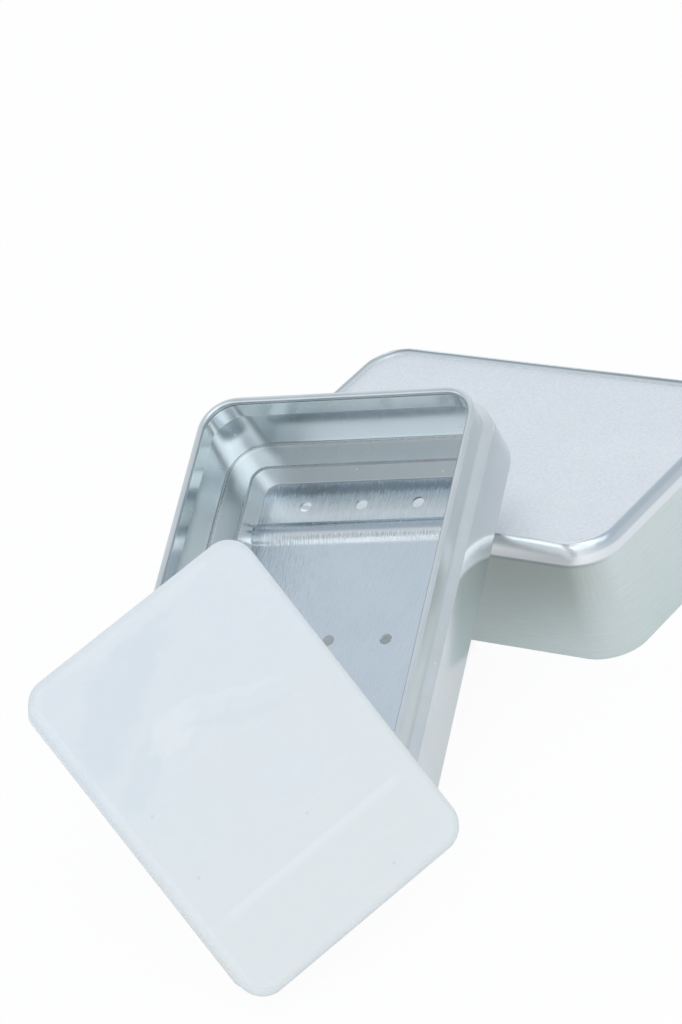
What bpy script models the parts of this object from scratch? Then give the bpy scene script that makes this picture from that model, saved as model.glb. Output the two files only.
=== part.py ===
# Alum block box: a drawn aluminium tray with drain holes, its deep lid and the
# alum block, arranged as they lie when the box is open. Metres, +Z up.
import math

import bmesh
import bpy
from mathutils import Euler, Matrix, Vector

# Outline that the tray and the lid share
BOX_WIDTH = 0.0600
BOX_LENGTH = 0.0910
CORNER_RADIUS = 0.0085
TIGHTEST_RADIUS = 0.0008
SKIN = 0.0005
CORNER_STEPS = 8

# Gap between pieces that touch
SEAT_GAP = 0.0003

# Tray, measured from the underside of its floor
TRAY_HEIGHT = 0.0194
BEAD_INSET = 0.0015
BEAD_PROUD = 0.00025
HEM_FOLD = 0.0003
NECK_DROP = 0.0054
SHOULDER_RISE = 0.0014
FOOT_RADIUS = 0.0009
LEDGE_WIDTH = 0.0061
LEDGE_RISE = 0.0017
RECESS_RUN = 0.0029

# Ribs that the block lies on, and drain holes between them
RIB_PLACE = 0.0247
RIB_WIDTH = 0.0052
RIB_RISE = 0.0012
RIB_END_CLEARANCE = 0.0012
RIB_ROUND_STEPS = 16
HOLE_DIAMETER = 0.0024
HOLE_ROW_PITCH = 0.0310
HOLE_COLUMN_PITCH = 0.0117
HOLE_ROWS = 3
HOLE_COLUMNS = 3
HOLE_STEPS = 16
CUT_OVERRUN = 0.0010

# Lid, measured from its mouth
LID_HEIGHT = 0.0254
CROWN_INSET = 0.00115
CROWN_DROP = 0.0024
PANEL_INSET = 0.0023
PANEL_DROP = 0.0008
MOUTH_HEM_WIDTH = 0.0010
MOUTH_HEM_RISE = 0.0020
MOUTH_HEM_BLEND = 0.0004

# Alum block
BLOCK_WIDTH = 0.0498
BLOCK_LENGTH = 0.0670
BLOCK_THICKNESS = 0.0140
BLOCK_CORNER_RADIUS = 0.0052
BLOCK_EDGE_RADIUS = 0.0016
BLOCK_DRAFT = 0.0024

# How the pieces lie, in degrees and metres
TRAY_TILT = 22.9
LID_TURN = -16.2
LID_SLIDE = 0.0081
BLOCK_PITCH = 57.1
BLOCK_ROLL = -8.95
BLOCK_TURN = 55.45
BLOCK_SLIDE = -0.00465

# Steps of the small curves
CURVE_STEPS = 4
BEAD_STEPS = 8
SETTLE_STEPS = 40

# Sizes that follow from those above
BEAD_RADIUS = SKIN + HEM_FOLD / 2
NECK_INSET = BEAD_INSET + BEAD_PROUD
NECK_FOOT = TRAY_HEIGHT - NECK_DROP
SHOULDER_FOOT = NECK_FOOT - SHOULDER_RISE
LEDGE_TOP = LEDGE_RISE + SKIN
FLOOR_INSET = LEDGE_WIDTH + RECESS_RUN


# Profile curves, as pairs of inset from the outline and height
def curve(inset, height, run, rise, start, end, steps):
    points = []
    for step in range(steps + 1):
        angle = math.radians(start + (end - start) * step / steps)
        points.append((inset + run * math.cos(angle), height + rise * math.sin(angle)))
    return points


def ease(inset, height, run, rise, steps):
    points = []
    for step in range(steps + 1):
        share = step / steps
        eased = (1 - math.cos(math.pi * share)) / 2
        points.append((inset + run * eased, height + rise * share))
    return points


# Rounded rectangle at one height
def outline(width, length, radius, inset, height):
    half_width = width / 2 - inset
    half_length = length / 2 - inset
    bend = min(max(radius - inset, TIGHTEST_RADIUS), half_width, half_length)
    points = []
    for quarter in range(4):
        turn = math.radians(90 * quarter)
        side = 1 if quarter in (0, 3) else -1
        end = 1 if quarter in (0, 1) else -1
        centre = Vector((side * (half_width - bend), end * (half_length - bend), height))
        for step in range(CORNER_STEPS + 1):
            angle = turn + math.radians(90 * step / CORNER_STEPS)
            points.append(centre + Vector((bend * math.cos(angle), bend * math.sin(angle), 0)))
    return points


# Closed body through a profile of outlines, with a flat face at both ends
def shell(name, width, length, radius, profile):
    mesh = bpy.data.meshes.new(name)
    bm = bmesh.new()
    rings = []
    for inset, height in profile:
        rings.append([bm.verts.new(point) for point in outline(width, length, radius, inset, height)])
    for lower, upper in zip(rings, rings[1:]):
        for index in range(len(lower)):
            bm.faces.new((lower[index - 1], lower[index], upper[index], upper[index - 1]))
    bm.faces.new(rings[0])
    bm.faces.new(rings[-1])
    bmesh.ops.recalc_face_normals(bm, faces=bm.faces)
    if bm.calc_volume(signed=True) < 0:
        bmesh.ops.reverse_faces(bm, faces=bm.faces)
    bm.to_mesh(mesh)
    bm.free()
    part = bpy.data.objects.new(name, mesh)
    bpy.context.collection.objects.link(part)
    return part


def soften(part):
    part.data.shade_smooth()
    part.data.set_sharp_from_angle(angle=math.radians(35))


def cutter(name, mesh):
    tool = bpy.data.objects.new(name, mesh)
    bpy.context.collection.objects.link(tool)
    tool.hide_render = True
    tool.display_type = 'WIRE'
    return tool


def combine(part, tool, operation):
    modifier = part.modifiers.new(tool.name, 'BOOLEAN')
    modifier.operation = operation
    modifier.solver = 'EXACT'
    modifier.object = tool
    tool.parent = part


# Materials
def material(name, colour, roughness, metallic):
    made = bpy.data.materials.new(name)
    made.use_nodes = True
    shader = made.node_tree.nodes['Principled BSDF']
    shader.inputs['Base Color'].default_value = colour
    shader.inputs['Roughness'].default_value = roughness
    shader.inputs['Metallic'].default_value = metallic
    return made


def bright_aluminium():
    return material('bright_aluminium', (0.70, 0.74, 0.76, 1), 0.22, 1.0)


def satin_aluminium():
    return material('satin_aluminium', (0.66, 0.70, 0.71, 1), 0.35, 1.0)


def polished_alum():
    return material('polished_alum', (0.80, 0.86, 0.89, 1), 0.15, 0.0)


# Straight slope from the flat floor up to the ledge
def recess_slope(floor_level):
    return [(FLOOR_INSET, floor_level), (LEDGE_WIDTH, floor_level + LEDGE_RISE)]


# Tray profile from the middle of the underside, over the rim, to the middle of the floor
def tray_underside():
    points = recess_slope(0)
    points += curve(FOOT_RADIUS, LEDGE_RISE + FOOT_RADIUS, -FOOT_RADIUS, -FOOT_RADIUS, 90, 0, CURVE_STEPS)
    return points


def tray_outside():
    points = ease(0, SHOULDER_FOOT, NECK_INSET, SHOULDER_RISE, CURVE_STEPS)
    return tray_underside() + points


def tray_bead():
    middle = BEAD_INSET + BEAD_RADIUS
    start = math.degrees(math.acos((middle - NECK_INSET) / BEAD_RADIUS))
    end = math.degrees(math.acos((NECK_INSET + SKIN - middle) / BEAD_RADIUS))
    return curve(middle, TRAY_HEIGHT - BEAD_RADIUS, -BEAD_RADIUS, BEAD_RADIUS, -start, 180 + end, BEAD_STEPS)


def tray_inside():
    fillet = max(FOOT_RADIUS - SKIN, SKIN / 2)
    points = ease(NECK_INSET + SKIN, NECK_FOOT, -NECK_INSET, -SHOULDER_RISE, CURVE_STEPS)
    points += curve(SKIN + fillet, LEDGE_TOP + fillet, -fillet, -fillet, 0, 90, CURVE_STEPS)
    points += reversed(recess_slope(SKIN))
    return points


# Long bar with round ends and a flat underside, for a pressed rib or the groove below it
def rib_bar(half_length, half_width, level, top):
    bar = bmesh.new()
    bmesh.ops.create_uvsphere(bar, u_segments=RIB_ROUND_STEPS, v_segments=7, radius=1)
    bmesh.ops.rotate(bar, verts=bar.verts, cent=(0, 0, 0), matrix=Matrix.Rotation(math.radians(90), 3, 'Y'))
    lower = [vert for vert in bar.verts if vert.co.z < -1 / RIB_ROUND_STEPS]
    bmesh.ops.delete(bar, geom=lower, context='VERTS')
    bmesh.ops.holes_fill(bar, edges=[edge for edge in bar.edges if edge.is_boundary])
    bmesh.ops.recalc_face_normals(bar, faces=bar.faces)
    for vert in bar.verts:
        shift = math.copysign(half_length - half_width, vert.co.x)
        height = level + max(vert.co.z, 0) * (top - level)
        vert.co = Vector((vert.co.x * half_width + shift, vert.co.y * half_width, height))
    return bar


def rib_pair(name, half_width, level, top):
    half_length = BOX_WIDTH / 2 - LEDGE_WIDTH - RIB_END_CLEARANCE - (RIB_WIDTH / 2 - half_width)
    mesh = bpy.data.meshes.new(name)
    pair = bmesh.new()
    for side in (-1, 1):
        bar = rib_bar(half_length, half_width, level, top)
        bmesh.ops.translate(bar, verts=bar.verts, vec=(0, side * RIB_PLACE, 0))
        bar.to_mesh(mesh)
        bar.free()
        pair.from_mesh(mesh)
    pair.to_mesh(mesh)
    pair.free()
    return cutter(name, mesh)


def drain_holes():
    mesh = bpy.data.meshes.new('drain_holes')
    holes = bmesh.new()
    for row in range(HOLE_ROWS):
        for column in range(HOLE_COLUMNS):
            place = Vector(((column - (HOLE_COLUMNS - 1) / 2) * HOLE_COLUMN_PITCH,
                            (row - (HOLE_ROWS - 1) / 2) * HOLE_ROW_PITCH, LEDGE_TOP / 2))
            bmesh.ops.create_cone(holes, cap_ends=True, segments=HOLE_STEPS, radius1=HOLE_DIAMETER / 2,
                                  radius2=HOLE_DIAMETER / 2, depth=LEDGE_TOP + 2 * CUT_OVERRUN,
                                  matrix=Matrix.Translation(place))
    holes.to_mesh(mesh)
    holes.free()
    return cutter('drain_holes', mesh)


def build_tray():
    profile = tray_outside() + tray_bead() + tray_inside()
    part = shell('base_tray', BOX_WIDTH, BOX_LENGTH, CORNER_RADIUS, profile)
    combine(part, rib_pair('rib_metal', RIB_WIDTH / 2, SKIN / 2, SKIN + RIB_RISE), 'UNION')
    combine(part, rib_pair('rib_groove', RIB_WIDTH / 2 - SKIN, -CUT_OVERRUN, RIB_RISE), 'DIFFERENCE')
    combine(part, drain_holes(), 'DIFFERENCE')
    soften(part)
    part.data.materials.append(bright_aluminium())
    return part


# Lid profile from the middle of the panel, down the outside, to the middle of the inside
def lid_profile():
    panel_run = PANEL_INSET - CROWN_INSET
    crown = LID_HEIGHT - CROWN_DROP
    step = SKIN + MOUTH_HEM_BLEND
    outside = ease(PANEL_INSET, LID_HEIGHT - PANEL_DROP, -panel_run, PANEL_DROP, CURVE_STEPS)
    outside += curve(CROWN_INSET, crown, -CROWN_INSET, CROWN_DROP, 90, 0, CURVE_STEPS)[1:]
    mouth = [(0, 0), (MOUTH_HEM_WIDTH, 0), (MOUTH_HEM_WIDTH, MOUTH_HEM_RISE)]
    mouth.append((SKIN, MOUTH_HEM_RISE + step))
    inner_run = max(CROWN_INSET - SKIN, SKIN / 2)
    inside = curve(SKIN + inner_run, crown, -inner_run, CROWN_DROP - SKIN, 0, 90, CURVE_STEPS)
    top = (SKIN + inner_run, LID_HEIGHT - SKIN)
    inside += ease(top[0], top[1], PANEL_INSET + SKIN - top[0], -PANEL_DROP, CURVE_STEPS)[1:]
    return outside + mouth + inside


def build_lid():
    part = shell('lid', BOX_WIDTH, BOX_LENGTH, CORNER_RADIUS, lid_profile())
    soften(part)
    part.data.materials.append(satin_aluminium())
    return part


# Slab with its middle at its origin, its sides drawn in towards its back
def block_profile():
    edge = BLOCK_THICKNESS / 2 - BLOCK_EDGE_RADIUS
    back = BLOCK_EDGE_RADIUS + BLOCK_DRAFT
    points = curve(back, -edge, -BLOCK_EDGE_RADIUS, -BLOCK_EDGE_RADIUS, 90, 0, CURVE_STEPS)
    points += curve(BLOCK_EDGE_RADIUS, edge, -BLOCK_EDGE_RADIUS, BLOCK_EDGE_RADIUS, 0, 90, CURVE_STEPS)
    return points


def build_block():
    part = shell('alum_block', BLOCK_WIDTH, BLOCK_LENGTH, BLOCK_CORNER_RADIUS, block_profile())
    soften(part)
    part.data.materials.append(polished_alum())
    return part


# The tray leans: its near end on the table, its far end on the lid
def tray_pose():
    turn = Matrix.Rotation(math.radians(TRAY_TILT), 4, 'X')
    near_end = [Vector((0, inset - BOX_LENGTH / 2, height)) for inset, height in tray_underside()]
    lowest = min((turn @ point).z for point in near_end)
    return Matrix.Translation((0, 0, -lowest)) @ turn


# Half the tray's width at a place along it
def half_width(inset, along):
    bend = max(CORNER_RADIUS - inset, TIGHTEST_RADIUS)
    past = along - (BOX_LENGTH / 2 - inset - bend)
    straight = BOX_WIDTH / 2 - inset
    if past <= 0:
        return straight
    return straight - bend + math.sqrt(max(bend * bend - past * past, 0))


# The lid lies flat, turned, with the tray's underside resting on its long near edge
def lid_pose(tray):
    tilt = math.radians(TRAY_TILT)
    slope = math.tan(math.radians(LID_TURN))
    seat = LID_HEIGHT + SEAT_GAP
    places = []
    for inset, height in tray_underside():
        along = (seat - tray.translation.z - math.cos(tilt) * height) / math.sin(tilt)
        place = math.cos(tilt) * along - math.sin(tilt) * height
        places.append(place - slope * half_width(inset, along))
    turn = Matrix.Rotation(math.radians(LID_TURN), 4, 'Z')
    middle = turn @ Vector((LID_SLIDE, BOX_WIDTH / 2 - CROWN_INSET, 0))
    place = Vector((0, max(places), 0)) + middle
    return Matrix.Translation(place) @ turn @ Matrix.Rotation(math.radians(90), 4, 'Z')


# Distance from a point to the block, less than zero inside it
def block_distance(point):
    corner = BLOCK_CORNER_RADIUS - BLOCK_EDGE_RADIUS
    edge = BLOCK_THICKNESS / 2 - BLOCK_EDGE_RADIUS
    drawn_in = BLOCK_DRAFT * (edge - min(max(point.z, -edge), edge)) / (2 * edge)
    wide = abs(point.x) - (BLOCK_WIDTH / 2 - BLOCK_EDGE_RADIUS) + corner
    long = abs(point.y) - (BLOCK_LENGTH / 2 - BLOCK_EDGE_RADIUS) + corner
    plan = min(max(wide, long), 0) + math.hypot(max(wide, 0), max(long, 0)) - corner + drawn_in
    thick = abs(point.z) - edge
    return min(max(plan, thick), 0) + math.hypot(max(plan, 0), max(thick, 0)) - BLOCK_EDGE_RADIUS


# Places on the outside of the tray that the block may touch
def tray_rim_points(tray):
    points = []
    for inset, height in tray_outside() + tray_bead():
        ring = outline(BOX_WIDTH, BOX_LENGTH, CORNER_RADIUS, inset, height)
        points += [tray @ point for point in ring]
        points += [tray @ ((point + ring[index - 1]) / 2) for index, point in enumerate(ring)]
    return points


# The block leans on the tray's rim, with its lowest corner on the table
def block_pose(tray):
    angles = [math.radians(angle) for angle in (BLOCK_PITCH, BLOCK_ROLL, BLOCK_TURN)]
    turn = Euler(angles, 'XYZ').to_matrix()
    face = turn.col[2]
    sideways = Vector((0, 0, 1)).cross(face).normalized()
    uphill = face.cross(sideways)
    near_end = tray @ Vector((0, -BOX_LENGTH / 2, TRAY_HEIGHT))
    heights = []
    for inset, height in block_profile():
        ring = outline(BLOCK_WIDTH, BLOCK_LENGTH, BLOCK_CORNER_RADIUS, inset, height)
        heights += [(turn @ point).z for point in ring]
    reach = -min(heights)
    points = tray_rim_points(tray)
    across = near_end.dot(sideways) + BLOCK_SLIDE

    def place(lift):
        spot = face * lift + sideways * across
        return spot + uphill * ((reach - spot.z) / uphill.z)

    def clearance(lift):
        back = turn.transposed()
        spot = place(lift)
        return min(block_distance(back @ (point - spot)) for point in points)

    low = near_end.dot(face)
    high = low + BLOCK_LENGTH
    for _ in range(SETTLE_STEPS):
        middle = (low + high) / 2
        if clearance(middle) < SEAT_GAP:
            low = middle
        else:
            high = middle
    return Matrix.Translation(place(high)) @ turn.to_4x4()


# The middle of the whole object's footprint is at the origin
def seat_on_origin(group, parts):
    bpy.context.view_layer.update()
    corners = []
    for part in parts:
        corners += [part.matrix_world @ vert.co for vert in part.data.vertices]
    lows = [min(corner[axis] for corner in corners) for axis in range(3)]
    highs = [max(corner[axis] for corner in corners) for axis in range(3)]
    group.location = (-(lows[0] + highs[0]) / 2, -(lows[1] + highs[1]) / 2, -lows[2])
    bpy.context.view_layer.update()


def main():
    for leftover in list(bpy.data.objects):
        bpy.data.objects.remove(leftover, do_unlink=True)
    group = bpy.data.objects.new('open_box', None)
    bpy.context.collection.objects.link(group)
    tray, lid, block = build_tray(), build_lid(), build_block()
    for part in (tray, lid, block):
        part.parent = group
    lean = tray_pose()
    tray.matrix_local = lean
    lid.matrix_local = lid_pose(lean)
    block.matrix_local = block_pose(lean)
    seat_on_origin(group, (tray, lid, block))


main()
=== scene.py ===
import math

import bmesh
import bpy
from mathutils import Matrix, Vector


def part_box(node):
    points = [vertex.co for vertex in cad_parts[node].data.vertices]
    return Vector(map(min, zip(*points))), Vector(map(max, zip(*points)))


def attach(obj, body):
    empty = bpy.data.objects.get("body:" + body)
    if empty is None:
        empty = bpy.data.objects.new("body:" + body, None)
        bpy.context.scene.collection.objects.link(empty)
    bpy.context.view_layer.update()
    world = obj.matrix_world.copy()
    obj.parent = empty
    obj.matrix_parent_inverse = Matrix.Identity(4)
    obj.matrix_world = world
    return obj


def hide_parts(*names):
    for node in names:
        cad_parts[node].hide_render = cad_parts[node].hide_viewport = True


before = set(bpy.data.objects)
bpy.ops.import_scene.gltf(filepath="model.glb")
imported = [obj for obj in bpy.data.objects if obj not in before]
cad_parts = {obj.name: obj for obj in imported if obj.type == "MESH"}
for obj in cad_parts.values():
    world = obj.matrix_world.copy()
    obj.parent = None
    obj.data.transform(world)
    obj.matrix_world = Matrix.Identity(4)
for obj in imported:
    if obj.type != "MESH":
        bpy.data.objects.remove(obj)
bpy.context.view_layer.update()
print("frame loaded:", ", ".join(sorted(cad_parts)))

perMetre = 1000         # millimetres in a metre


# one socket of a node tree; sums on it add Math nodes
class Wire:
    def __init__(self, tree, socket=None):
        self.tree = tree
        self.socket = socket

    def add(self, kind, settings=None, inputs=None, output=0):
        made = self.tree.nodes.new(kind)
        for name, value in (settings or {}).items():
            setattr(made, name, value)
        for name, value in (inputs or {}).items():
            if isinstance(value, Wire):
                self.tree.links.new(value.socket, made.inputs[name])
            else:
                made.inputs[name].default_value = value
        return Wire(self.tree, made.outputs[output])

    def maths(self, operation, *values):
        return self.add("ShaderNodeMath", {"operation": operation}, dict(enumerate(values)))

    def __add__(self, other):
        return self.maths("ADD", self, other)

    def __sub__(self, other):
        return self.maths("SUBTRACT", self, other)

    def __rsub__(self, other):
        return self.maths("SUBTRACT", other, self)

    def __mul__(self, other):
        return self.maths("MULTIPLY", self, other)

    def __truediv__(self, other):
        return self.maths("DIVIDE", self, other)

    def __pow__(self, other):
        return self.maths("POWER", self, other)

    def __abs__(self):
        return self.maths("ABSOLUTE", self)

    __radd__ = __add__
    __rmul__ = __mul__

    def most(self, limit):
        return self.maths("MINIMUM", self, limit)

    def least(self, limit):
        return self.maths("MAXIMUM", self, limit)

    # 0 below low, 1 above high, soft between them
    def step(self, low, high):
        values = {"Value": self, "From Min": low, "From Max": high}
        return self.add("ShaderNodeMapRange", {"interpolation_type": "SMOOTHSTEP"}, values)

    # 1 around a middle, 0 further off than outer
    def band(self, middle, inner, outer):
        return 1 - abs(self - middle).step(inner, outer)

    # 1 between low and high
    def within(self, low, high, soft):
        return self.step(low - soft, low + soft) * (1 - self.step(high - soft, high + soft))

    # this wire from 0 to 1 becomes low to high
    def span(self, low, high):
        return self.add("ShaderNodeMapRange", {}, {"Value": self, "To Min": low, "To Max": high})

    # one colour where this wire is 0, another where it is 1; a colour mix takes them at inputs 6 and 7
    # and gives its result at output 2
    def tint(self, dark, light):
        return self.add("ShaderNodeMix", {"data_type": "RGBA"}, {0: self, 6: dark, 7: light}, 2)

    def axes(self):
        parts = self.tree.nodes.new("ShaderNodeSeparateXYZ")
        self.tree.links.new(self.socket, parts.inputs[0])
        return [Wire(self.tree, parts.outputs[axis]) for axis in range(3)]

    def scaled(self, x, y, z):
        return self.add("ShaderNodeVectorMath", {"operation": "MULTIPLY"}, {0: self, 1: (x, y, z)})

    def noise(self, scale, detail=2.0, roughness=0.5, distortion=0.0):
        values = {"Scale": scale, "Detail": detail, "Roughness": roughness, "Distortion": distortion}
        return self.add("ShaderNodeTexNoise", {}, {"Vector": self, **values})

    # noise drawn out along an axis
    def grain(self, stretch, detail, roughness):
        return self.scaled(*stretch).noise(1.0, detail, roughness)

    def cells(self, scale):
        return self.add("ShaderNodeTexVoronoi", {}, {"Vector": self, "Scale": scale})

    def bump(self, distance, strength=1.0, below=None):
        values = {"Height": self, "Distance": distance, "Strength": strength}
        if below:
            values["Normal"] = below
        return self.add("ShaderNodeBump", {}, values)


def grey(value):
    return (value, value, value, 1)


# a fresh material: its tree's start and the shader node
def newMaterial(name):
    made = bpy.data.materials.new(name)
    made.use_nodes = True
    return made, Wire(made.node_tree), made.node_tree.nodes["Principled BSDF"]


def plug(shader, **links):
    for name, wire in links.items():
        wire.tree.links.new(wire.socket, shader.inputs[name.replace("_", " ")])


# colours laid over a base one after the other: where, which colour, how much of it
def painted(base, layers):
    for where, colour, amount in layers:
        base = (where * amount).tint(base, colour)
    return base


# a base value that moves to an area's own value there
def byArea(base, areas):
    total = base
    for where, value in areas:
        total = total + where * (value - base)
    return total


# the object's own coordinates in millimetres, turned back to how a piece lies before it is placed
def pieceCoords(start, place):
    values = {"Vector": start.add("ShaderNodeTexCoord", output="Object"), "Location": place.translation,
              "Rotation": place.to_euler(), "Scale": [1 / perMetre] * 3}
    return start.add("ShaderNodeMapping", {"vector_type": "TEXTURE"}, values)


# points of a profile as (inset, height): a quarter or more of an ellipse
def bend(inset, height, run, rise, start, end, steps):
    angles = [math.radians(start + (end - start) * step / steps) for step in range(steps + 1)]
    return [(inset + run * math.cos(angle), height + rise * math.sin(angle)) for angle in angles]


def easeOver(inset, height, run, rise, steps):
    shares = [step / steps for step in range(steps + 1)]
    return [(inset + run * (1 - math.cos(math.pi * share)) / 2, height + rise * share) for share in shares]


# a corner between two straight lines, rounded off
def softCorner(before, corner, after, reach, steps):
    middle = Vector(corner)
    first = middle + (Vector(before) - middle).normalized() * reach
    last = middle + (Vector(after) - middle).normalized() * reach
    shares = [step / steps for step in range(steps + 1)]
    return [tuple(first * (1 - s) ** 2 + middle * 2 * s * (1 - s) + last * s * s) for s in shares]


# how far along its profile each section starts and ends, in millimetres
def sectionSpans(sections):
    run, last, spans = 0, None, {}
    for name, points in sections.items():
        for index, point in enumerate(points):
            run += math.dist(last, point) * perMetre if last else 0
            start = run if index == 0 else start
            last = point
        spans[name] = (start, run)
    return spans


# a profile drawn in by a hair, so that its fine curves stay inside the coarser solid
def trimmed(sections, trim):
    points = [point for section in sections.values() for point in section]
    low, high = min(height for _, height in points), max(height for _, height in points)
    share = 1 - 2 * trim / (high - low)
    return {name: [(inset + trim, low + trim + (height - low) * share) for inset, height in section]
            for name, section in sections.items()}


def evenCuts(reach, steps):
    return [reach * (2 * step / steps - 1) for step in range(steps + 1)]


# points round a rounded rectangle, in the same order on every ring; the straight sides are cut at
# set places, and only their last stretch grows or shrinks with the ring
def ringPoints(box, inset, height, across, along):
    wide, long = box["width"] / 2 - inset, box["length"] / 2 - inset
    radius = max(box["corner"] - inset, box["tightest"])
    w, l = wide - radius, long - radius
    sides = (((wide, 0), (0, 1), l, along), ((0, long), (-1, 0), w, across),
             ((-wide, 0), (0, -1), l, along), ((0, -long), (1, 0), w, across))
    points = []
    for quarter, (middle, way, end, cuts) in enumerate(sides):
        middle, way = Vector((*middle, height)), Vector((*way, 0))
        points += [middle + way * spot for spot in [-end] + cuts[1:-1]]
        centre = Vector(((w, -w, -w, w)[quarter], (l, l, -l, -l)[quarter], height))
        for step in range(box["cornerSteps"]):
            angle = math.radians(90 * (quarter + step / box["cornerSteps"]))
            points.append(centre + Vector((radius * math.cos(angle), radius * math.sin(angle), 0)))
    return points


# the flat middle inside a ring: a grid whose lines meet the ring's cuts, strips round it and a fan
# at each corner
def floorGrid(bm, ring, box, across, along, turned):
    nx, ny = len(across) - 1, len(along) - 1
    height, w, l = ring[0].co.z, ring[ny + box["cornerSteps"]].co.x, ring[ny].co.y
    columns, rows = [-w] + across[1:-1] + [w], [-l] + along[1:-1] + [l]
    grid = [[bm.verts.new((column, row, height)) for column in columns] for row in rows]
    faces = [(grid[j][i], grid[j][i + 1], grid[j + 1][i + 1], grid[j + 1][i])
             for j in range(ny) for i in range(nx)]
    edges = [[grid[row][nx] for row in range(ny + 1)], [grid[ny][nx - column] for column in range(nx + 1)],
             [grid[ny - row][0] for row in range(ny + 1)], [grid[0][column] for column in range(nx + 1)]]
    at = 0
    for edge in edges:
        for index in range(len(edge) - 1):
            faces.append((edge[index], ring[at], ring[(at + 1) % len(ring)], edge[index + 1]))
            at += 1
        for _ in range(box["cornerSteps"]):
            faces.append((edge[-1], ring[at], ring[(at + 1) % len(ring)]))
            at += 1
    made = [bm.faces.new(face[::-1] if turned else face) for face in faces]
    return made, [vert for row in grid for vert in row]


# closed sheet or slab through the rings of its profile; its UV is in millimetres, round the outline
# and along the profile
def ringBody(name, box, sections, across, along, insideFrom=None):
    bm = bmesh.new()
    level = bm.verts.layers.float.new("skinLevel")
    uv = bm.loops.layers.uv.new("sheetUv")
    rings, profile, inside = [], [], False
    for section, points in trimmed(sections, box["trim"]).items():
        inside = inside or section == insideFrom
        for inset, height in points:
            ring = [bm.verts.new(point) for point in ringPoints(box, inset, height, across, along)]
            for vert in ring:
                vert[level] = box["skin"] if inside else 0
            rings.append(ring)
            profile.append((inset, height))
    outer = ringPoints(box, 0, 0, across, along)
    around = [0]
    for index in range(len(outer)):
        around.append(around[-1] + (outer[(index + 1) % len(outer)] - outer[index]).length * perMetre)
    run = 0
    for lower, upper, before, after in zip(rings, rings[1:], profile, profile[1:]):
        ahead = run + math.dist(before, after) * perMetre
        for index in range(len(lower)):
            following = (index + 1) % len(lower)
            face = bm.faces.new((lower[index], lower[following], upper[following], upper[index]))
            left, right = around[index], around[index + 1]
            spots = ((left, run), (right, run), (right, ahead), (left, ahead))
            for loop, spot in zip(face.loops, spots):
                loop[uv].uv = spot
        run = ahead
    ends = ((rings[0], 0, 0, True), (rings[-1], run, box["skin"] if inside else 0, False))
    for ring, spot, height, turned in ends:
        faces, verts = floorGrid(bm, ring, box, across, along, turned)
        for face in faces:
            for loop in face.loops:
                loop[uv].uv = (0, spot)
        for vert in verts:
            vert[level] = height
    bmesh.ops.recalc_face_normals(bm, faces=bm.faces)
    if bm.calc_volume(signed=True) < 0:
        bmesh.ops.reverse_faces(bm, faces=bm.faces)
    mesh = bpy.data.meshes.new(name)
    bm.to_mesh(mesh)
    bm.free()
    piece = bpy.data.objects.new(name, mesh)
    bpy.context.scene.collection.objects.link(piece)
    return piece


def newGeometryTree(name, inputs):
    tree = bpy.data.node_groups.new(name, "GeometryNodeTree")
    tree.interface.new_socket("Geometry", in_out="INPUT", socket_type="NodeSocketGeometry")
    for label, kind in inputs:
        tree.interface.new_socket(label, in_out="INPUT", socket_type=kind)
    tree.interface.new_socket("Geometry", in_out="OUTPUT", socket_type="NodeSocketGeometry")
    start = tree.nodes.new("NodeGroupInput")
    return tree, {socket.name: Wire(tree, socket) for socket in start.outputs if socket.name}


def endGeometryTree(tree, geometry, material):
    whole = geometry.add("GeometryNodeRealizeInstances", {}, {"Geometry": geometry})
    dressed = geometry.add("GeometryNodeSetMaterial", {}, {"Geometry": whole, "Material": material})
    end = tree.nodes.new("NodeGroupOutput")
    tree.links.new(dressed.socket, end.inputs[0])


# runs a tree on a piece and keeps the result as a plain mesh
def runTree(piece, tree, values):
    modifier = piece.modifiers.new(tree.name, "NODES")
    modifier.node_group = tree
    for item in tree.interface.items_tree:
        if item.in_out == "INPUT" and item.name in values:
            modifier[item.identifier] = values[item.name]
    evaluated = piece.evaluated_get(bpy.context.evaluated_depsgraph_get())
    mesh = bpy.data.meshes.new_from_object(evaluated)
    piece.modifiers.remove(modifier)
    piece.data = mesh


def finishPiece(piece, place, node, body, sharp=32):
    piece.data.transform(place)
    piece.data.shade_smooth()
    piece.data.set_sharp_from_angle(angle=math.radians(sharp))
    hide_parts(node)
    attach(piece, body)
    low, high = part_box(node)
    beyond = []
    for axis in range(3):
        spots = [vert.co[axis] for vert in piece.data.vertices]
        beyond += [low[axis] - min(spots), max(spots) - high[axis]]
    furthest = round(max(beyond) * perMetre, 3)
    print(piece.name, "made,", len(piece.data.polygons), "faces,", furthest, "mm beyond its node's box")


# camera, first
cameraValues = {
    "place": (0.329878, -0.643495, 0.440803),
    "right": (0.913147, 0.324561, -0.246623),
    "down": (-0.036149, -0.538155, -0.842070),
    "ahead": (-0.406025, 0.777849, -0.479682),
    "lens": 158.742, "sensor": 36, "nearest": 0.01,
}


def addCamera(values):
    lens = bpy.data.cameras.new("camera")
    lens.lens = values["lens"]
    lens.sensor_width = values["sensor"]
    lens.clip_start = values["nearest"]
    camera = bpy.data.objects.new("camera", lens)
    columns = (Vector(values["right"]), -Vector(values["down"]), -Vector(values["ahead"]))
    turn = Matrix(columns).transposed().to_4x4()
    camera.matrix_world = Matrix.Translation(values["place"]) @ turn
    bpy.context.scene.collection.objects.link(camera)
    bpy.context.scene.camera = camera


addCamera(cameraValues)
print("camera placed")


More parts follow.
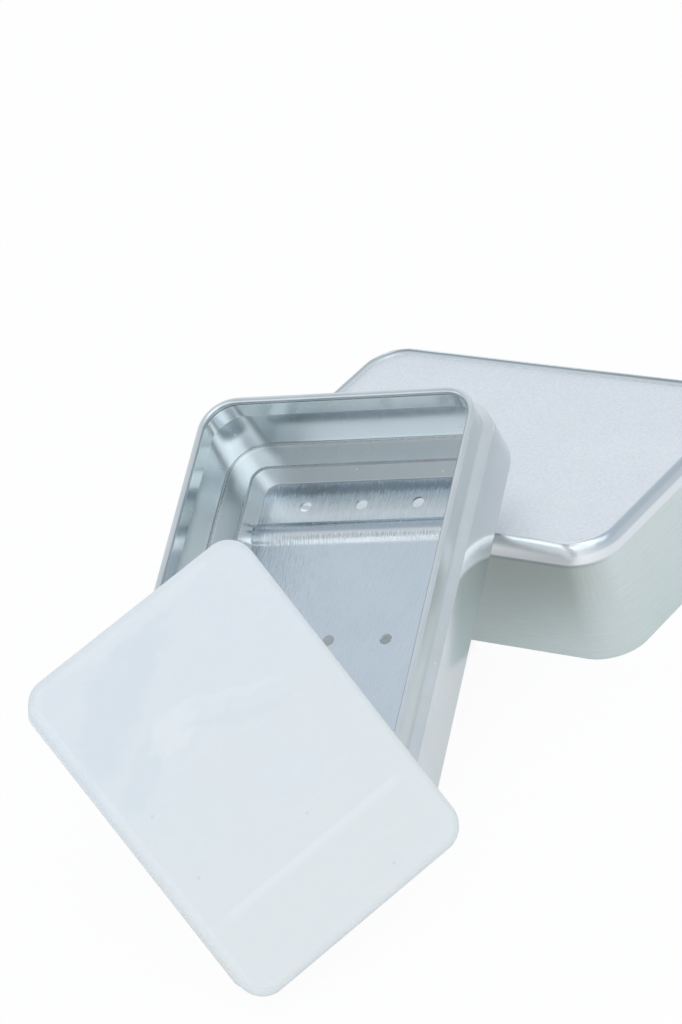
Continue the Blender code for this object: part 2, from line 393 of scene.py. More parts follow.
# tray; shapes in metres, what is painted in millimetres
tray = {
    "width": 0.0600, "length": 0.0910, "corner": 0.0085, "cornerSteps": 16, "tightest": 0.0030,
    "skin": 0.0005, "trim": 0.00003, "height": 0.0194, "beadInset": 0.0015, "beadProud": 0.00025,
    "hemFold": 0.0003, "neckDrop": 0.0054, "shoulderRise": 0.0014, "slantRun": 0.0002, "slantDrop": 0.0003,
    "footRadius": 0.0009, "ledgeWidth": 0.0061, "ledgeRise": 0.0017, "recessRun": 0.0029, "edgeReach": 0.0004,
    "footReach": 0.0003, "floorReach": 0.01,
    "steps": {"under": 4, "wall": 7, "shoulder": 10, "rim": 20, "inside": 6},
    "ribPlace": 0.0247, "ribWidth": 0.0052, "ribRise": 0.0012, "ribEndGap": 0.0012, "ribFullness": 2.4,
    "ribFoot": 0.05,
    "holeDiameter": 0.0024, "holeSides": 32, "punchDepth": 0.004, "rowPitch": 0.0310, "columnPitch": 0.0117,
    "rows": 3, "columns": 3, "tilt": 22.9, "place": (-0.015827, -0.000539, 0.01586),
    # cuts in the floor: how far and how many across it; along it how far to each side of a rib, as a
    # share of its width, and how many there, before it and beyond it
    "acrossReach": 0.0176, "acrossCuts": 36, "ribMargin": 0.55, "ribCuts": 11, "middleCuts": 12, "endCuts": 5,
    # colours: the wall and floor tones and their darker shades vary at random; the ledge, neck and slope
    # tones are painted reflections on the one sheet, the crease colour is painted shade, and the palest
    # colour serves for painted highlights and for dust
    "wall": (0.73, 0.775, 0.785, 1), "wallShade": (0.63, 0.675, 0.695, 1), "floor": (0.715, 0.785, 0.85, 1),
    "floorShade": (0.655, 0.725, 0.79, 1), "ledge": (0.82, 0.87, 0.89, 1), "neck": (0.70, 0.76, 0.75, 1),
    "slope": (0.455, 0.52, 0.56, 1), "crease": (0.17, 0.21, 0.24, 1), "sheenAndDust": (0.92, 0.95, 0.96, 1),
    "amounts": {"neck": 0.55, "ledge": 0.8, "outer": 0.28, "farWall": 0.7, "slope": 0.7, "endGlow": 0.75,
                "sideDarker": 0.45, "ribFaceHighlight": 0.75, "darkBand": 0.62, "edge": 0.65, "foot": 0.45, "foldShade": 0.85,
                "ledgeGlint": 1.2, "slantGlint": 0.8, "glints": 0.6, "dust": 0.6},
    # noise: stretch along each axis, detail, roughness
    "rolled": ((2.6, 0.30, 0.30), 3.0, 0.62), "drawn": ((4.6, 0.24, 0), 3.0, 0.6),
    "hairs": ((7.0, 0.5, 0.5), 2.0, 0.6), "ragged": ((2.6, 1.1, 0), 3.0, 0.65),
    # noise: scale, detail, roughness
    "cloud": (0.09, 3.0, 0.55), "fine": (2.2, 2.0, 0.6),
    "patches": (0.26, 1.0, 0.5), "waves": (0.12, 2.0, 0.5),
    "cloudEdges": (0.30, 0.72), "cloudShare": 0.55, "specks": 0.42, "speckEdges": (0.05, 0.10),
    "patchEdges": (0.49, 0.56),
    # how softly each area ends
    "fade": {"slope": 0.12, "ledge": 0.15, "rim": 0.12, "neck": 0.15, "wall": 0.2, "floor": 0.1},
    "underside": (0.05, 0.4), "farWallEdges": (41.0, 45.0), "ribEnds": (19.0, 21.5),
    # bands: middle, full within, gone beyond; from the tray's end, its side or the rib's middle; a painted
    # lighter band and a darker one near the end, a darker one near the side, and on the rib a painted
    # highlight face and a painted shade stripe
    "endGlow": (15.6, 0.8, 3.6), "endDark": (10.8, 0.3, 1.9), "sideDarker": (10.2, 0.2, 1.7),
    "ribFaceHighlight": (-1.7, 0.7, 1.5), "ribShadeLine": (0.1, 0.15, 0.80), "endFray": 2.4, "sideFray": 1.6,
    # the same along the profile, from a fold: painted shade in the folds and painted highlights beside them
    "folds": {"bead": (0.16, 0.16, 0.52), "wallFoot": (0.28, 0.06, 0.36), "edge": (0.42, 0.10, 0.42),
              "foot": (0.28, 0.05, 0.30), "rimGlint": (0.62, 0.05, 0.20), "neckGlint": (-0.1, 0.05, 0.22),
              "ledgeGlint": (0.05, 0.10, 0.55)},
    "beadBreaks": (0.18, 0.52), "wallFootRange": (0.50, 0.80), "glintBreaks": (0.25, 0.5),
    "hairRange": (0.5, 1.0), "ribLineRange": (0.3, 1.0),
    "roughness": {"wall": 0.17, "floor": 0.16, "ledge": 0.28, "slope": 0.26, "rim": 0.32},
    "roughGrain": 0.16, "roughCalm": 0.8, "roughDust": 0.4, "roughMarks": 0.2,
    # bumps: height, strength
    "waveBump": (0.00012, 0.30), "grainBump": (0.000012, 0.5), "brushing": (0.00009, 1.0),
    "grainMix": (0.65, 0.35), "slopeCalm": 0.5, "calmest": 0.92,
}


def traySections(t):
    skin, rise, radius, steps = t["skin"], t["ledgeRise"], t["footRadius"], t["steps"]
    floorInset, ledgeTop = t["ledgeWidth"] + t["recessRun"], rise + skin
    neckInset, neckFoot = t["beadInset"] + t["beadProud"], t["height"] - t["neckDrop"]
    shoulderFoot = neckFoot - t["shoulderRise"]
    beadRadius = skin + t["hemFold"] / 2
    beadMiddle = t["beadInset"] + beadRadius
    fillet = radius - skin
    start = math.degrees(math.acos((beadMiddle - neckInset) / beadRadius))
    end = math.degrees(math.acos((neckInset + skin - beadMiddle) / beadRadius))

    # floor, foot of the slope, edge of the ledge and wall, on the sheet's under side or its upper one
    def places(lift):
        level = rise + lift
        return (floorInset + t["floorReach"], lift), (floorInset, lift), (t["ledgeWidth"], level), (0, level)

    low, high = places(0), places(skin)
    beadTop = t["height"] - beadRadius
    return {
        "underFoot": softCorner(low[0], low[1], low[2], t["footReach"], steps["under"]),
        "underEdge": softCorner(low[1], low[2], low[3], t["edgeReach"], steps["under"]),
        "underWall": bend(radius, rise + radius, -radius, -radius, 90, 0, steps["wall"]),
        "outShoulder": easeOver(0, shoulderFoot, neckInset, t["shoulderRise"], steps["shoulder"]),
        "rim": bend(beadMiddle, beadTop, -beadRadius, beadRadius, -start, 180 + end, steps["rim"]),
        "inShoulder": [(neckInset + skin, neckFoot), (skin + t["slantRun"], shoulderFoot),
                       (skin, shoulderFoot - t["slantDrop"])],
        "wallFoot": bend(skin + fillet, ledgeTop + fillet, -fillet, -fillet, 0, 90, steps["inside"]),
        "edge": softCorner(high[3], high[2], high[1], t["edgeReach"], steps["inside"]),
        "foot": softCorner(high[2], high[1], high[0], t["footReach"], steps["inside"]),
    }


# cuts along the tray: close together on the ribs, wide between them
def trayCuts(t):
    reach = t["length"] / 2 - t["ledgeWidth"] - t["recessRun"] - t["footReach"] - t["trim"] - t["tightest"]
    half, middle, end = t["ribCuts"], t["middleCuts"], t["endCuts"]
    ribReach = t["ribWidth"] * t["ribMargin"]
    ribs = [t["ribPlace"] + ribReach * (step / half - 1) for step in range(2 * half + 1)]
    between = [ribs[0] * step / middle for step in range(1, middle)]
    beyond = [ribs[-1] + (reach - ribs[-1]) * step / end for step in range(1, end + 1)]
    positive = between + ribs + beyond
    return [-spot for spot in reversed(positive)] + [0] + positive


def trayTree(t, material):
    numbers = ("Rib Place", "Rib Width", "Rib Length", "Rib Rise", "Rib Fullness", "Rib Foot",
               "Hole Diameter", "Row Pitch", "Column Pitch")
    inputs = [(label, "NodeSocketFloat") for label in numbers]
    inputs += [("Rows", "NodeSocketInt"), ("Columns", "NodeSocketInt")]
    tree, given = newGeometryTree("ribs and drain holes", inputs)
    start = given["Geometry"]
    x, y, z = start.add("GeometryNodeInputPosition").axes()
    level = start.add("GeometryNodeInputNamedAttribute", {"data_type": "FLOAT"}, {"Name": "skinLevel"})
    half = given["Rib Width"] / 2
    past = (abs(x) - (given["Rib Length"] / 2 - half)).least(0.0)
    across = abs(y) - given["Rib Place"]
    away = (past * past + across * across) ** 0.5 / half
    crest = (1 - away ** given["Rib Fullness"]).least(0.0)
    # the rib's foot runs out softly
    dome = crest * crest * (1 + given["Rib Foot"]) / (crest + given["Rib Foot"])
    raised = z.least(level + given["Rib Rise"] * dome)
    spot = start.add("ShaderNodeCombineXYZ", {}, {0: x, 1: y, 2: raised})
    pressed = start.add("GeometryNodeSetPosition", {}, {"Geometry": start, "Position": spot})
    values = {"Size X": given["Column Pitch"] * (given["Columns"] - 1),
              "Size Y": given["Row Pitch"] * (given["Rows"] - 1),
              "Vertices X": given["Columns"], "Vertices Y": given["Rows"]}
    places = start.add("GeometryNodeMeshGrid", {}, values)
    values = {"Vertices": t["holeSides"], "Radius": given["Hole Diameter"] / 2, "Depth": t["punchDepth"]}
    punch = start.add("GeometryNodeMeshCylinder", {}, values)
    punches = start.add("GeometryNodeInstanceOnPoints", {}, {"Points": places, "Instance": punch})
    punches = start.add("GeometryNodeRealizeInstances", {}, {"Geometry": punches})
    settings = {"operation": "DIFFERENCE", "solver": "EXACT"}
    cut = start.add("GeometryNodeMeshBoolean", settings, {0: pressed, 1: punches})
    endGeometryTree(tree, cut, material)
    return tree


def trayMetal(t, place, spans):
    made, start, shader = newMaterial("tray aluminium")
    local = pieceCoords(start, place)
    sheet = start.add("ShaderNodeUVMap", {"uv_map": "sheetUv"})
    x, y, _ = local.axes()
    _, along, _ = sheet.axes()
    amounts, fade, sheenAndDust = t["amounts"], t["fade"], t["sheenAndDust"]
    foot, edge, wallFoot, slant = spans["foot"], spans["edge"], spans["wallFoot"], spans["inShoulder"]
    bead, shoulder = spans["rim"], spans["outShoulder"]
    inner = along.step(foot[0], foot[1] - fade["floor"])
    bottom = (inner + 1 - along.step(*t["underside"])).most(1.0)
    slope = along.within(edge[1], foot[0], fade["slope"])
    ledge = along.within(wallFoot[1], edge[0], fade["ledge"])
    rim = along.within(shoulder[0], bead[1], fade["rim"])
    neck = along.within(bead[1], slant[0], fade["neck"]) + along.within(shoulder[1], bead[0], fade["neck"])
    outer = along.within(spans["underWall"][0], shoulder[0], fade["wall"])
    inWall = along.within(slant[1], wallFoot[0], fade["wall"])

    rolled = local.grain(*t["rolled"])          # rolling grain, along the floor
    drawn = sheet.grain(*t["drawn"])            # draw marks, up the walls
    hairs = local.grain(*t["hairs"])            # hair lines across the rib
    ragged = sheet.grain(*t["ragged"])
    cloud = local.noise(*t["cloud"])
    fine = local.noise(*t["fine"])
    grain = bottom * rolled + (1 - bottom) * drawn

    tone = cloud.step(*t["cloudEdges"]) * t["cloudShare"] + grain * (1 - t["cloudShare"])
    # painted reflections on the one sheet: a darker, greener neck, a lighter ledge, a lighter outer wall, a
    # darker far wall and a darker slope
    walls = painted(tone.tint(t["wallShade"], t["wall"]), (
        (neck.most(1.0), t["neck"], amounts["neck"]),
        (ledge, t["ledge"], amounts["ledge"]),
        (outer, sheenAndDust, amounts["outer"]),
        (y.step(*t["farWallEdges"]) * inWall, t["wallShade"], amounts["farWall"]),
        (slope, t["slope"], amounts["slope"])))
    colour = bottom.tint(walls, tone.tint(t["floorShade"], t["floor"]))

    # distances to the tray's end and side, frayed by the grain
    toEnd = t["length"] / 2 * perMetre - abs(y) + (rolled + hairs - 1) * t["endFray"]
    toSide = t["width"] / 2 * perMetre - abs(x) + (rolled - 0.5) * t["sideFray"]
    # a darker band near the tray's ends and sides
    darkBand = toEnd.band(*t["endDark"]).least(toSide.band(*t["sideDarker"]) * amounts["sideDarker"])
    fromRib = y - t["ribPlace"] * perMetre
    onRib = 1 - abs(x).step(*t["ribEnds"])
    # painted highlight on the rib's near face and painted shade along its far foot
    ribFaceHighlight = fromRib.band(*t["ribFaceHighlight"]) * onRib * hairs.span(*t["hairRange"])
    ribShadeLine = fromRib.band(*t["ribShadeLine"]) * onRib * ragged.span(*t["ribLineRange"])
    # painted: a lighter band near the tray's end and the rib's highlight face, then the darker band and the
    # rib's shade stripe
    colour = painted(colour, (
        (toEnd.band(*t["endGlow"]) * inner, sheenAndDust, amounts["endGlow"]),
        (ribFaceHighlight * inner, sheenAndDust, amounts["ribFaceHighlight"]),
        (darkBand.least(ribShadeLine) * inner, t["crease"], amounts["darkBand"])))

    def foldLine(name, spot):
        offset, full, gone = t["folds"][name]
        return along.band(spot + offset, full, gone)

    # painted shade along the folds: under the bead, at the wall's foot, along the ledge's edge and the
    # slope's foot
    foldShade = foldLine("bead", bead[1]) * ragged.step(*t["beadBreaks"])
    foldShade = foldShade.least(foldLine("wallFoot", wallFoot[0]) * ragged.span(*t["wallFootRange"]))
    foldShade = foldShade.least(foldLine("edge", edge[0]) * amounts["edge"])
    foldShade = foldShade.least(foldLine("foot", foot[0]) * amounts["foot"])
    # painted highlights along the rim, the neck, the ledge and the slanted shoulder
    glints = foldLine("rimGlint", bead[1]) + foldLine("neckGlint", slant[0])
    glints = glints + foldLine("ledgeGlint", wallFoot[1]) * amounts["ledgeGlint"]
    glints = glints + along.within(slant[0], slant[1], fade["wall"]) * amounts["slantGlint"]
    dust = 1 - local.cells(t["specks"]).step(*t["speckEdges"])
    dust = dust * local.noise(*t["patches"]).step(*t["patchEdges"]) * amounts["dust"]
    colour = painted(colour, (
        (foldShade, t["crease"], amounts["foldShade"]),
        (glints.most(1.0) * ragged.step(*t["glintBreaks"]), sheenAndDust, amounts["glints"])))
    colour = dust.tint(colour, sheenAndDust)

    r = t["roughness"]
    areas = ((bottom, r["floor"]), (ledge, r["ledge"]), (slope, r["slope"]), (rim, r["rim"]))
    rough = byArea(r["wall"], areas)
    rough = rough + (grain - 0.5) * (1 - (ledge + slope) * t["roughCalm"]) * t["roughGrain"]
    rough = rough + dust * t["roughDust"] + foldShade * t["roughMarks"]
    coarse, small = t["grainMix"]
    height = (grain * coarse + fine * small) * (1 - (ledge + slope * t["slopeCalm"]).most(t["calmest"]))
    normal = local.noise(*t["waves"]).bump(*t["waveBump"])
    normal = height.bump(*t["grainBump"], normal)
    normal = (rolled * bottom).bump(*t["brushing"], normal)          # blurs only across the grain
    plug(shader, Base_Color=colour, Roughness=rough, Normal=normal)
    shader.inputs["Metallic"].default_value = 1.0
    return made


def addTray(t):
    place = Matrix.Translation(t["place"]) @ Matrix.Rotation(math.radians(t["tilt"]), 4, "X")
    sections = traySections(t)
    cuts = evenCuts(t["acrossReach"], t["acrossCuts"])
    piece = ringBody("tray_sheet", t, sections, cuts, trayCuts(t), "inShoulder")
    values = {
        "Rib Place": t["ribPlace"], "Rib Width": t["ribWidth"], "Rib Rise": t["ribRise"],
        "Rib Length": t["width"] - 2 * t["ledgeWidth"] - 2 * t["ribEndGap"],
        "Rib Fullness": t["ribFullness"], "Rib Foot": t["ribFoot"],
        "Hole Diameter": t["holeDiameter"], "Row Pitch": t["rowPitch"], "Column Pitch": t["columnPitch"],
        "Rows": t["rows"], "Columns": t["columns"],
    }
    runTree(piece, trayTree(t, trayMetal(t, place, sectionSpans(sections))), values)
    finishPiece(piece, place, "base_tray", "tray_body")


addTray(tray)


# lid; shapes in metres, what is painted in millimetres
lid = {
    "width": 0.0600, "length": 0.0910, "corner": 0.0085, "cornerSteps": 18, "tightest": 0.0008,
    "skin": 0.0005, "trim": 0.00005, "height": 0.0254, "crownInset": 0.0014, "crownDrop": 0.0046,
    "panelInset": 0.0023, "panelDrop": 0.0008, "panelReach": 0.0005, "hemWidth": 0.0010, "hemRise": 0.0020,
    "hemBlend": 0.0004, "lipInset": 0.00012, "sideCuts": (0.8, 0.5, 0.2, 0.02),
    "steps": {"panel": 10, "crown": 14, "inCrown": 8, "inPanel": 6},
    # cuts in the panel: how far and how many, across it and along it
    "acrossReach": 0.0215, "acrossCuts": 12, "alongReach": 0.037, "alongCuts": 20,
    "turn": 73.8, "place": (0.0, 0.054302, 0.0),
    # the panel and side tones and their shades vary at random; the darker side, the crown's tones, the glow
    # and the crease colour are painted shade, reflection and highlight
    "panel": (0.85, 0.87, 0.895, 1), "panelShade": (0.69, 0.715, 0.745, 1), "side": (0.75, 0.82, 0.81, 1),
    "sideShade": (0.63, 0.70, 0.69, 1), "sideDarker": (0.47, 0.52, 0.48, 1), "crown": (0.72, 0.77, 0.80, 1),
    "crownShade": (0.50, 0.56, 0.62, 1), "glow": (0.97, 0.985, 0.99, 1), "crease": (0.30, 0.35, 0.38, 1),
    "amounts": {"near": 0.75, "corner": 0.4, "crown": 0.8, "crownNear": 0.8, "crownRight": 0.75,
                "glow": 0.62, "glowNear": 0.10, "creaseRight": 0.35},
    "roughness": {"panel": 0.45, "side": 0.37, "crown": 0.22}, "roughGrain": 0.14,
    # noise: scale, detail, roughness
    "speckle": (1.5, 3.0, 0.66), "cloud": (0.06, 4.0, 0.6),
    # noise: stretch along each axis, detail, roughness
    "brushed": ((0.12, 6.5, 0), 4.0, 0.65), "streaks": ((3.6, 0.10, 0), 2.0, 0.5),
    "grainEdges": (0.30, 0.70), "brushShare": 0.6, "streakEdges": (0.45, 0.7), "speckleShare": 0.5,
    # stretches over which the near and right sides, the corners and the far fold fade in or out
    "near": (-29.5, -24.0), "right": (-45.0, -39.0), "cornerX": (20.5, 26.0), "cornerY": (36.0, 41.5),
    "farFold": (24.0, 28.5), "nearHeight": (1.0, 21.0),
    # along the profile, from the panel's fold or the crown's low end; the glow band is a painted highlight,
    # the fold and crown-foot stripes painted shade
    "panelEnd": 0.5, "crownEnds": 0.4, "crownFade": 0.3, "glowBand": (2.3, 0.5, 0.35),
    "foldLine": (0.90, 0.08, 0.40), "foldRange": (0.25, 0.60),
    "crownFootShade": (-0.05, 0.10, 0.55), "seamRange": (0.25, 0.6),
    # bumps: height, strength
    "waveBump": (0.00010, 0.25), "grainBump": (0.000020, 0.6),
}


def lidSections(v):
    skin, crown = v["skin"], v["height"] - v["crownDrop"]
    panelInset, panelTop, steps = v["panelInset"], v["height"] - v["panelDrop"], v["steps"]
    fold = v["crownInset"] - panelInset
    run = max(v["crownInset"] - skin, skin / 2)
    topInset, top = skin + run, v["height"] - skin
    inFold = panelInset + skin - topInset
    return {
        "panel": [(panelInset + v["panelReach"], panelTop)],
        "panelRise": easeOver(panelInset, panelTop, fold, v["panelDrop"], steps["panel"]),
        "crown": bend(v["crownInset"], crown, -v["crownInset"], v["crownDrop"], 90, 0, steps["crown"])[1:],
        "side": [(0, crown * share) for share in v["sideCuts"]],
        "mouth": [(v["lipInset"], 0), (v["hemWidth"], 0), (v["hemWidth"], v["hemRise"]),
                  (skin, v["hemRise"] + skin + v["hemBlend"])],
        "inCrown": bend(skin + run, crown, -run, v["crownDrop"] - skin, 0, 90, steps["inCrown"]),
        "inPanel": easeOver(topInset, top, inFold, -v["panelDrop"], steps["inPanel"])[1:],
    }


def lidMetal(v, place, spans):
    made, start, shader = newMaterial("lid aluminium")
    local = pieceCoords(start, place)
    x, y, z = local.axes()
    sheet = start.add("ShaderNodeUVMap", {"uv_map": "sheetUv"})
    _, along, _ = sheet.axes()
    amounts, fold, low = v["amounts"], spans["panelRise"][0], spans["crown"][1]
    panel = 1 - along.step(fold, fold + v["panelEnd"])
    crown = along.within(fold + v["crownEnds"], low - v["crownEnds"], v["crownFade"])
    speckle = local.noise(*v["speckle"])
    cloud = local.noise(*v["cloud"])
    brushed = sheet.grain(*v["brushed"])        # brushing round the side
    streaks = sheet.grain(*v["streaks"])        # draw marks at the corners
    corner = abs(x).step(*v["cornerX"]) * abs(y).step(*v["cornerY"])
    near = 1 - x.step(*v["near"])
    right = 1 - y.step(*v["right"])

    brushShare, speckleShare = v["brushShare"], v["speckleShare"]
    side = brushed.step(*v["grainEdges"]) * brushShare + cloud * (1 - brushShare)
    # the near side painted darker towards its top: painted shade
    side = painted(side.tint(v["sideShade"], v["side"]), (
        (near * z.step(*v["nearHeight"]), v["sideDarker"], amounts["near"]),
        (corner * streaks.step(*v["streakEdges"]), v["panelShade"], amounts["corner"])))
    top = speckle.step(*v["grainEdges"]) * speckleShare + cloud * (1 - speckleShare)
    colour = panel.tint(side, top.tint(v["panelShade"], v["panel"]))
    upper, lower, soft = v["glowBand"]
    glow = amounts["glow"] + near * amounts["glowNear"]
    # the crown painted: a grey reflection tone all round, lighter on the near side, darker on the right, and
    # a painted highlight band low on it
    colour = painted(colour, (
        (crown, v["crown"], amounts["crown"]),
        (crown * near * (1 - right), v["glow"], amounts["crownNear"]),
        (crown * right * (1 - near), v["crownShade"], amounts["crownRight"]),
        (along.within(low - upper, low - lower, soft), v["glow"], glow)))
    # painted shade: a dark stripe at the panel's fold, stronger along the far side, and one at the crown's
    # foot on the near side
    offset, full, gone = v["foldLine"]
    crease = cloud.span(*v["foldRange"]) + x.step(*v["farFold"]) * amounts["creaseRight"]
    crease = along.band(fold + offset, full, gone) * crease
    offset, full, gone = v["crownFootShade"]
    crownFootShade = along.band(low + offset, full, gone) * brushed.span(*v["seamRange"]) * near
    colour = crease.least(crownFootShade).tint(colour, v["crease"])

    r = v["roughness"]
    rough = byArea(r["side"], ((panel, r["panel"]), (crown, r["crown"]))) + (speckle - 0.5) * v["roughGrain"]
    height = panel * speckle + (1 - panel) * (brushed * (1 - corner) + streaks * corner)
    normal = cloud.bump(*v["waveBump"])
    normal = height.bump(*v["grainBump"], normal)
    plug(shader, Base_Color=colour, Roughness=rough, Normal=normal)
    shader.inputs["Metallic"].default_value = 1.0
    return made


def addLid(v):
    place = Matrix.Translation(v["place"]) @ Matrix.Rotation(math.radians(v["turn"]), 4, "Z")
    sections = lidSections(v)
    across, along = evenCuts(v["acrossReach"], v["acrossCuts"]), evenCuts(v["alongReach"], v["alongCuts"])
    piece = ringBody("lid_sheet", v, sections, across, along)
    piece.data.materials.append(lidMetal(v, place, sectionSpans(sections)))
    finishPiece(piece, place, "lid", "lid_body")


addLid(lid)


# block; shapes in metres, what is painted in millimetres
block = {
    "width": 0.0498, "length": 0.0670, "thickness": 0.0140, "corner": 0.0052, "tightest": 0.0008, "skin": 0,
    "trim": 0.00003, "edge": 0.0016, "draft": 0.0024, "faceReach": 0.0004, "edgeSteps": 9, "cornerSteps": 16,
    # cuts in the face: how far and how many, across it and along it
    "acrossReach": 0.0197, "acrossCuts": 10, "alongReach": 0.0283, "alongCuts": 14,
    "angles": (57.1, -8.95, 55.45), "place": (-0.005913, -0.064506, 0.032023),
    "cool": (0.72, 0.755, 0.78, 1), "warm": (0.74, 0.765, 0.76, 1), "veil": (0.68, 0.725, 0.757, 1),
    "milk": (0.785, 0.81, 0.82, 1), "green": (0.715, 0.77, 0.765, 1), "plum": (0.725, 0.755, 0.795, 1),
    "speck": (0.48, 0.53, 0.56, 1), "roughness": (0.10, 0.20),
    # noise: scale, detail, roughness, distortion
    "drift": (0.045, 4.0, 0.62, 0.8), "wisps": (0.11, 5.0, 0.66, 1.6), "wispStretch": (1.0, 2.1, 1.0),
    "scallops": 0.24, "warp": {"x": 6.0, "y": 7.0, "scallops": 1.6},
    "driftShare": 0.5, "driftShift": 0.25, "driftEdges": (0.15, 0.85),
    "wispEdges": (0.52, 0.70), "wispAmount": 0.22,
    # clouds in the stone: middle x and y, half length, half width, turn in degrees, colour, amount
    "clouds": (((-9.5, 22.7), 21, 5.6, 31, "veil", 0.75), ((-14.8, 9.5), 9, 3.0, 31, "veil", 0.55),
               ((-5.5, 11.9), 6.5, 3.6, 10, "milk", 0.60), ((5.0, 7.0), 13, 1.2, -25, "veil", 0.35),
               ((7.0, 10.5), 11, 1.0, -25, "milk", 0.35), ((-14.2, -3.5), 7, 6, 0, "green", 0.50),
               ((5.6, -6.6), 8, 4.6, -10, "plum", 0.50), ((2.0, 31.5), 22, 2.4, 0, "milk", 0.40)),
    "cloudEdges": (0.30, 1.15),
    # specks: middles, then half length, half width and turn of each
    "specks": ((3.0, -12.8), (9.8, -29.1), (-19.3, -9.6), (-19.1, 3.5)), "speckSize": (0.42, 0.34, 30),
    "speckAmount": 0.28,
    # a painted highlight stripe across the face: where, how it starts, how it ends, where it fades at the
    # sides
    "lineY": -17.6, "lineStart": (-0.6, 0.1), "lineEnd": (0.4, 2.0),
    "lineSides": (17.5, 22.5), "lineAmount": 0.7,
    "waves": (0.07, 2.0, 0.5), "waveBump": (0.0002, 0.12),
    "stone": {"Subsurface Weight": 0.2, "Subsurface Radius": (0.8, 1.0, 1.2), "Subsurface Scale": 0.003,
              "IOR": 1.456},
}


def blockSections(v):
    half, edge, steps = v["thickness"] / 2, v["edge"], v["edgeSteps"]
    back = edge + v["draft"]
    return {
        "back": [(back + v["faceReach"], -half)] + bend(back, edge - half, -edge, -edge, 90, 0, steps),
        "face": bend(edge, half - edge, -edge, edge, 0, 90, steps) + [(edge + v["faceReach"], half)],
    }


# a soft cloud on the block, 1 in its middle
def cloudAt(x, y, middle, long, wide, turn, edges):
    c, s = math.cos(math.radians(turn)), math.sin(math.radians(turn))
    u = (x - middle[0]) * (c / long) + (y - middle[1]) * (s / long)
    v = (y - middle[1]) * (c / wide) - (x - middle[0]) * (s / wide)
    return 1 - (u * u + v * v).step(*edges)


def alumStone(v, place):
    made, start, shader = newMaterial("alum")
    local = pieceCoords(start, place)
    x, y, _ = local.axes()
    drift = local.noise(*v["drift"])
    wisps = local.scaled(*v["wispStretch"]).noise(*v["wisps"])
    scallops, warp, edges = local.cells(v["scallops"]), v["warp"], v["cloudEdges"]
    warpX = x + (wisps - 0.5) * warp["x"] + scallops * warp["scallops"]
    warpY = y + (drift - 0.5) * warp["y"] - scallops * warp["scallops"]
    down = y / (v["length"] * perMetre) + 0.5
    base = (down + drift * v["driftShare"] - v["driftShift"]).step(*v["driftEdges"])
    base = base.tint(v["warm"], v["cool"])
    layers = [(cloudAt(warpX, warpY, middle, long, wide, turn, edges), v[name], amount)
              for middle, long, wide, turn, name, amount in v["clouds"]]
    layers.append((wisps.step(*v["wispEdges"]), v["milk"], v["wispAmount"]))
    below = v["lineY"] - y
    highlightLine = below.step(*v["lineStart"]) * (1 - below.step(*v["lineEnd"])) * (1 - abs(x).step(*v["lineSides"]))
    layers.append((highlightLine, v["milk"], v["lineAmount"]))
    layers += [(cloudAt(x, y, spot, *v["speckSize"], edges), v["speck"], v["speckAmount"])
               for spot in v["specks"]]
    normal = local.noise(*v["waves"]).bump(*v["waveBump"])
    plug(shader, Base_Color=painted(base, layers), Roughness=wisps.span(*v["roughness"]), Normal=normal)
    for name, value in v["stone"].items():
        shader.inputs[name].default_value = value
    return made


def addBlock(v):
    place = Matrix.Translation(v["place"])
    for axis, angle in zip("ZYX", reversed(v["angles"])):
        place = place @ Matrix.Rotation(math.radians(angle), 4, axis)
    across, along = evenCuts(v["acrossReach"], v["acrossCuts"]), evenCuts(v["alongReach"], v["alongCuts"])
    piece = ringBody("alum_slab", v, blockSections(v), across, along)
    piece.data.materials.append(alumStone(v, place))
    finishPiece(piece, place, "alum_block", "block_body")


addBlock(block)


# studio
studio = {
    "floorSize": 3.0, "floorTone": 0.90, "floorRoughness": 0.9, "cameraShare": 0.95, "mirrorShare": 0.30,
    "shaded": (-0.020, 0.018), "shadedReach": (0.013, 0.024), "shadedDepth": 0.97,
    "ambient": 0.76, "darkest": 0.02, "strength": 1.03, "skyTone": (0.90, 0.95, 1.0, 1),
    # axis, cosine where a lobe starts and where it is full, how much lighter or darker
    "lobes": [((-0.35, 0.80, 0.48), 0.55, 0.95, 0.22), ((-0.41, -0.60, 0.69), 0.90, 0.98, -0.34),
              ((-0.41, -0.89, 0.20), 0.95, 0.995, 0.45), ((0.82, -0.31, 0.47), 0.93, 0.985, 0.70),
              ((-0.79, -0.54, 0.28), 0.955, 0.99, 0.80), ((0.25, -0.42, 0.87), 0.95, 0.99, 0.60),
              ((0.53, -0.66, 0.53), 0.95, 0.99, 0.50)],
    # name, place, size, watts
    "lamps": [("front box", (0.25, -0.86, 0.76), 1.6, 3.2)],
}


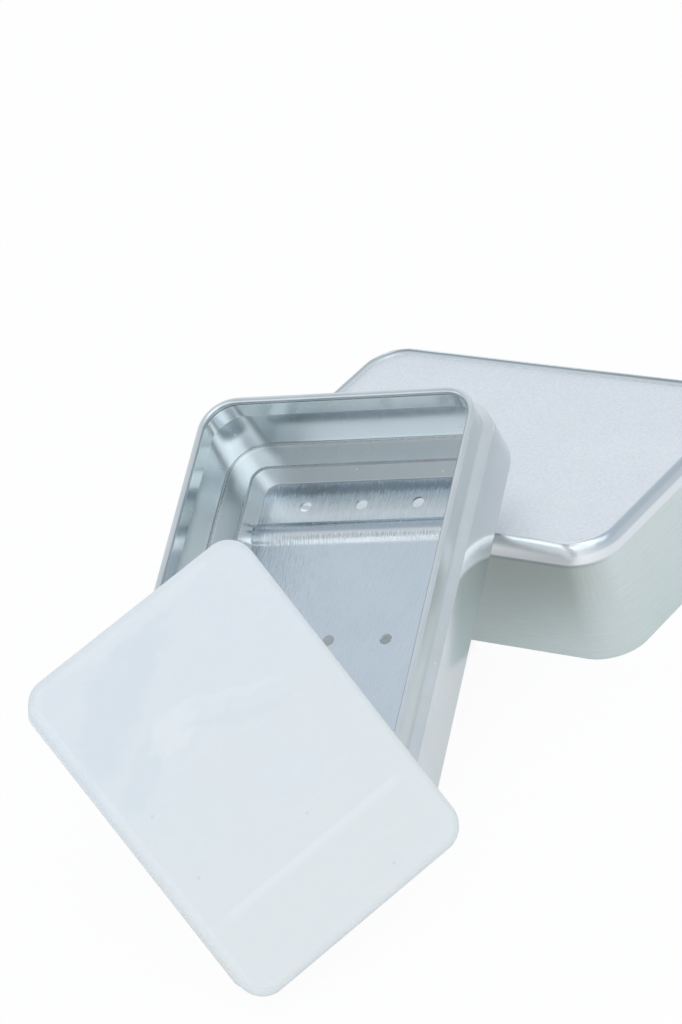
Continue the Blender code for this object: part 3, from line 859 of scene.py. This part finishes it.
def addFloor(s):
    mesh = bpy.data.meshes.new("floor")
    bm = bmesh.new()
    bmesh.ops.create_grid(bm, x_segments=1, y_segments=1, size=s["floorSize"] / 2)
    bm.to_mesh(mesh)
    bm.free()
    floor = bpy.data.objects.new("floor", mesh)
    bpy.context.scene.collection.objects.link(floor)
    made, start, shader = newMaterial("pale floor")
    shader.inputs["Base Color"].default_value = grey(s["floorTone"])
    shader.inputs["Roughness"].default_value = s["floorRoughness"]
    shader.inputs["Specular IOR Level"].default_value = 0.0
    seen, glossy, through = [start.add("ShaderNodeLightPath", output=name)
                             for name in ("Is Camera Ray", "Is Glossy Ray", "Is Transmission Ray")]
    x, y, _ = start.add("ShaderNodeTexCoord", output="Object").axes()
    acrossX, acrossY = x - s["shaded"][0], y - s["shaded"][1]
    # 1 under the leaning tray; there most of the floor's white is taken away, so the patch shows the floor's
    # real shading, darkened further as a painted shadow fixed to the floor
    below = 1 - ((acrossX * acrossX + acrossY * acrossY) ** 0.5).step(*s["shadedReach"])
    white = (seen + through) * s["cameraShare"] * (1 - below * s["shadedDepth"])
    share = (white + glossy * s["mirrorShare"]).most(1.0)
    paper = start.add("ShaderNodeEmission", {}, {"Color": grey(1.0), "Strength": 1.0})
    plain = Wire(made.node_tree, shader.outputs[0])
    both = start.add("ShaderNodeMixShader", {}, {0: share, 1: plain, 2: paper})
    made.node_tree.links.new(both.socket, made.node_tree.nodes["Material Output"].inputs["Surface"])
    mesh.materials.append(made)


def addWorld(s):
    world = bpy.data.worlds.new("studio")
    bpy.context.scene.world = world
    world.use_nodes = True
    start = Wire(world.node_tree)
    toward = start.add("ShaderNodeTexCoord", output="Generated")
    toward = start.add("ShaderNodeVectorMath", {"operation": "NORMALIZE"}, {0: toward})
    light = None
    for axis, low, high, strength in s["lobes"]:
        inputs = {0: toward, 1: Vector(axis).normalized()}
        facing = start.add("ShaderNodeVectorMath", {"operation": "DOT_PRODUCT"}, inputs, "Value")
        lobe = facing.step(low, high) * strength
        light = lobe if light is None else light + lobe
    light = (light + s["ambient"]).least(s["darkest"]) * s["strength"]
    back = world.node_tree.nodes["Background"]
    back.inputs["Color"].default_value = s["skyTone"]
    world.node_tree.links.new(light.socket, back.inputs["Strength"])


def addLamps(s):
    for name, place, size, power in s["lamps"]:
        data = bpy.data.lights.new(name, "AREA")
        data.size = size
        data.energy = power
        lamp = bpy.data.objects.new(name, data)
        lamp.location = place
        lamp.rotation_euler = (-Vector(place)).to_track_quat("-Z", "Y").to_euler()
        bpy.context.scene.collection.objects.link(lamp)


addFloor(studio)
addWorld(studio)
addLamps(studio)
bpy.context.scene.view_settings.view_transform = "Standard"
print("studio lit")
